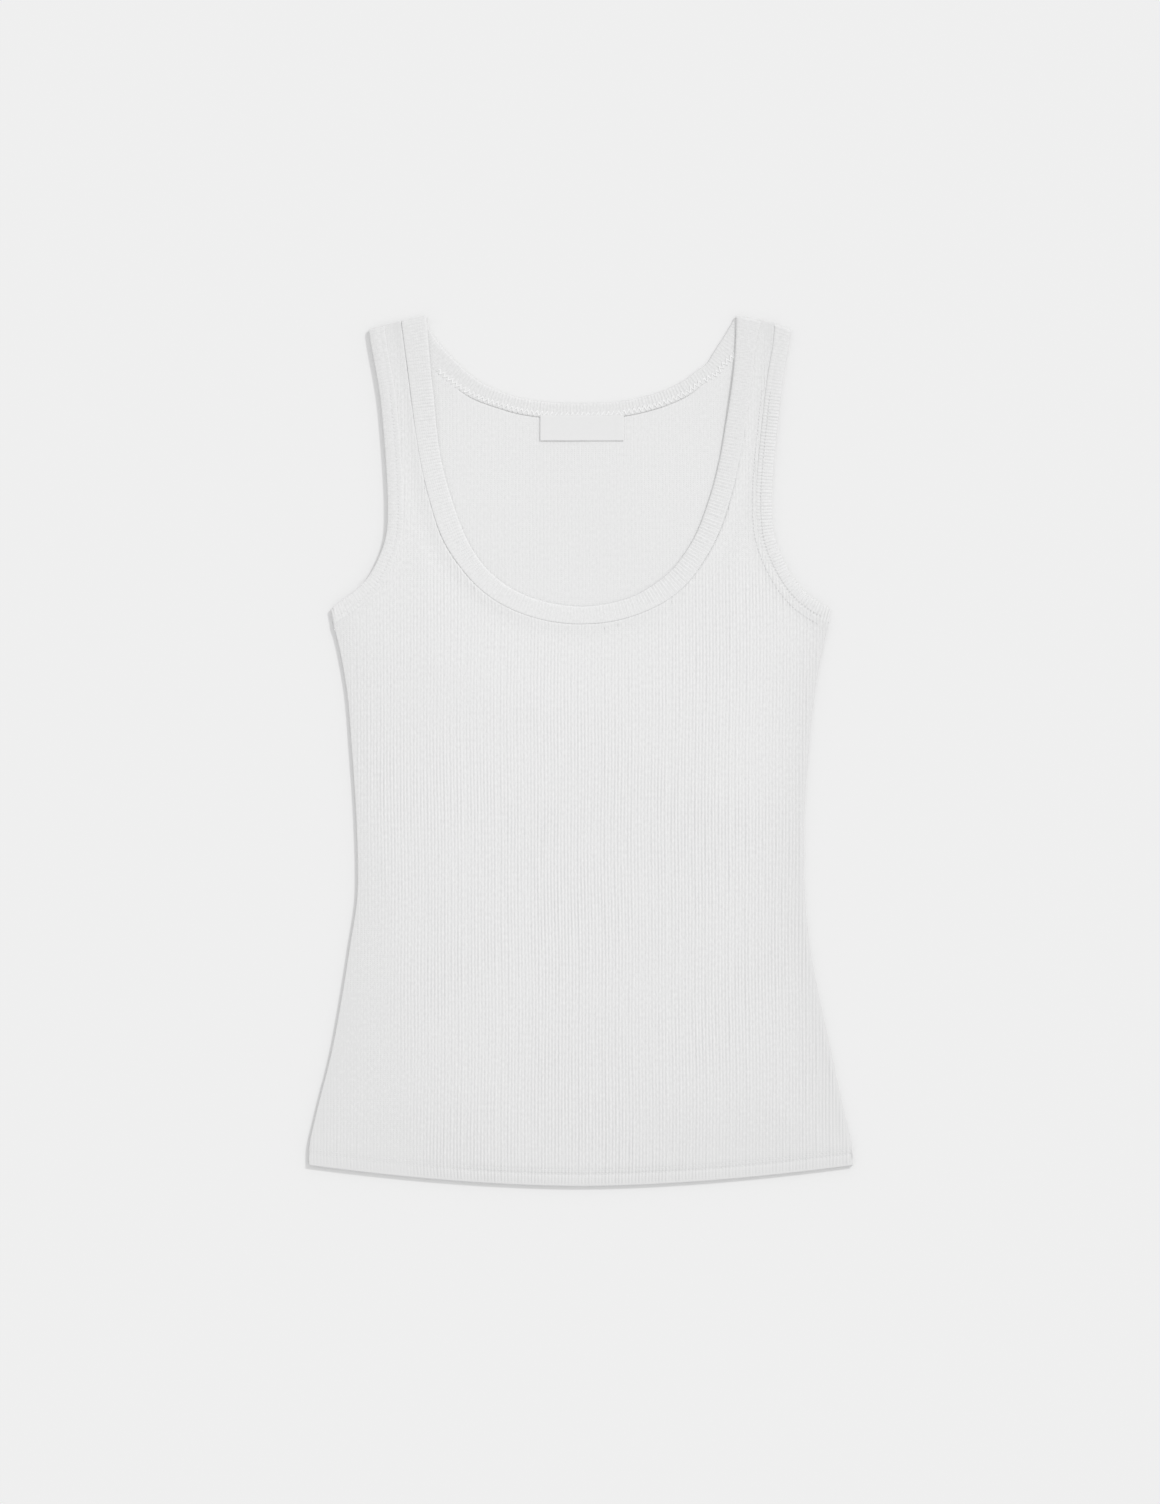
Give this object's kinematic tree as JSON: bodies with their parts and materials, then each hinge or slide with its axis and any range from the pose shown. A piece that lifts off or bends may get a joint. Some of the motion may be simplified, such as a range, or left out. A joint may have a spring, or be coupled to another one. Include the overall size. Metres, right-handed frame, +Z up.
{
  "type": "tank top",
  "caption": "Women's rib-knit tank top with wide straps, a deep scoop neck and bound edges, laid flat on its back.",
  "frame": {"origin": "middle of the surface that the garment lies on, under the middle of its box", "axes": "+Y from the hem to the neck, +Z up off the surface through the front, +X to the viewer's right"},
  "size_m": [0.3912, 0.6268, 0.0059],
  "materials": {
    "rib_knit": "white cotton rib knit, matt",
    "rib_band": "the same knit, folded into a strip, matt",
    "label_tape": "white satin tape, slight sheen, bare"
  },
  "bodies": {
    "root": {"front_panel": "rib_knit", "back_panel": "rib_knit", "neck_band": "rib_band", "arm_band_left": "rib_band", "arm_band_right": "rib_band", "label": "label_tape"}
  },
  "joints": []
}
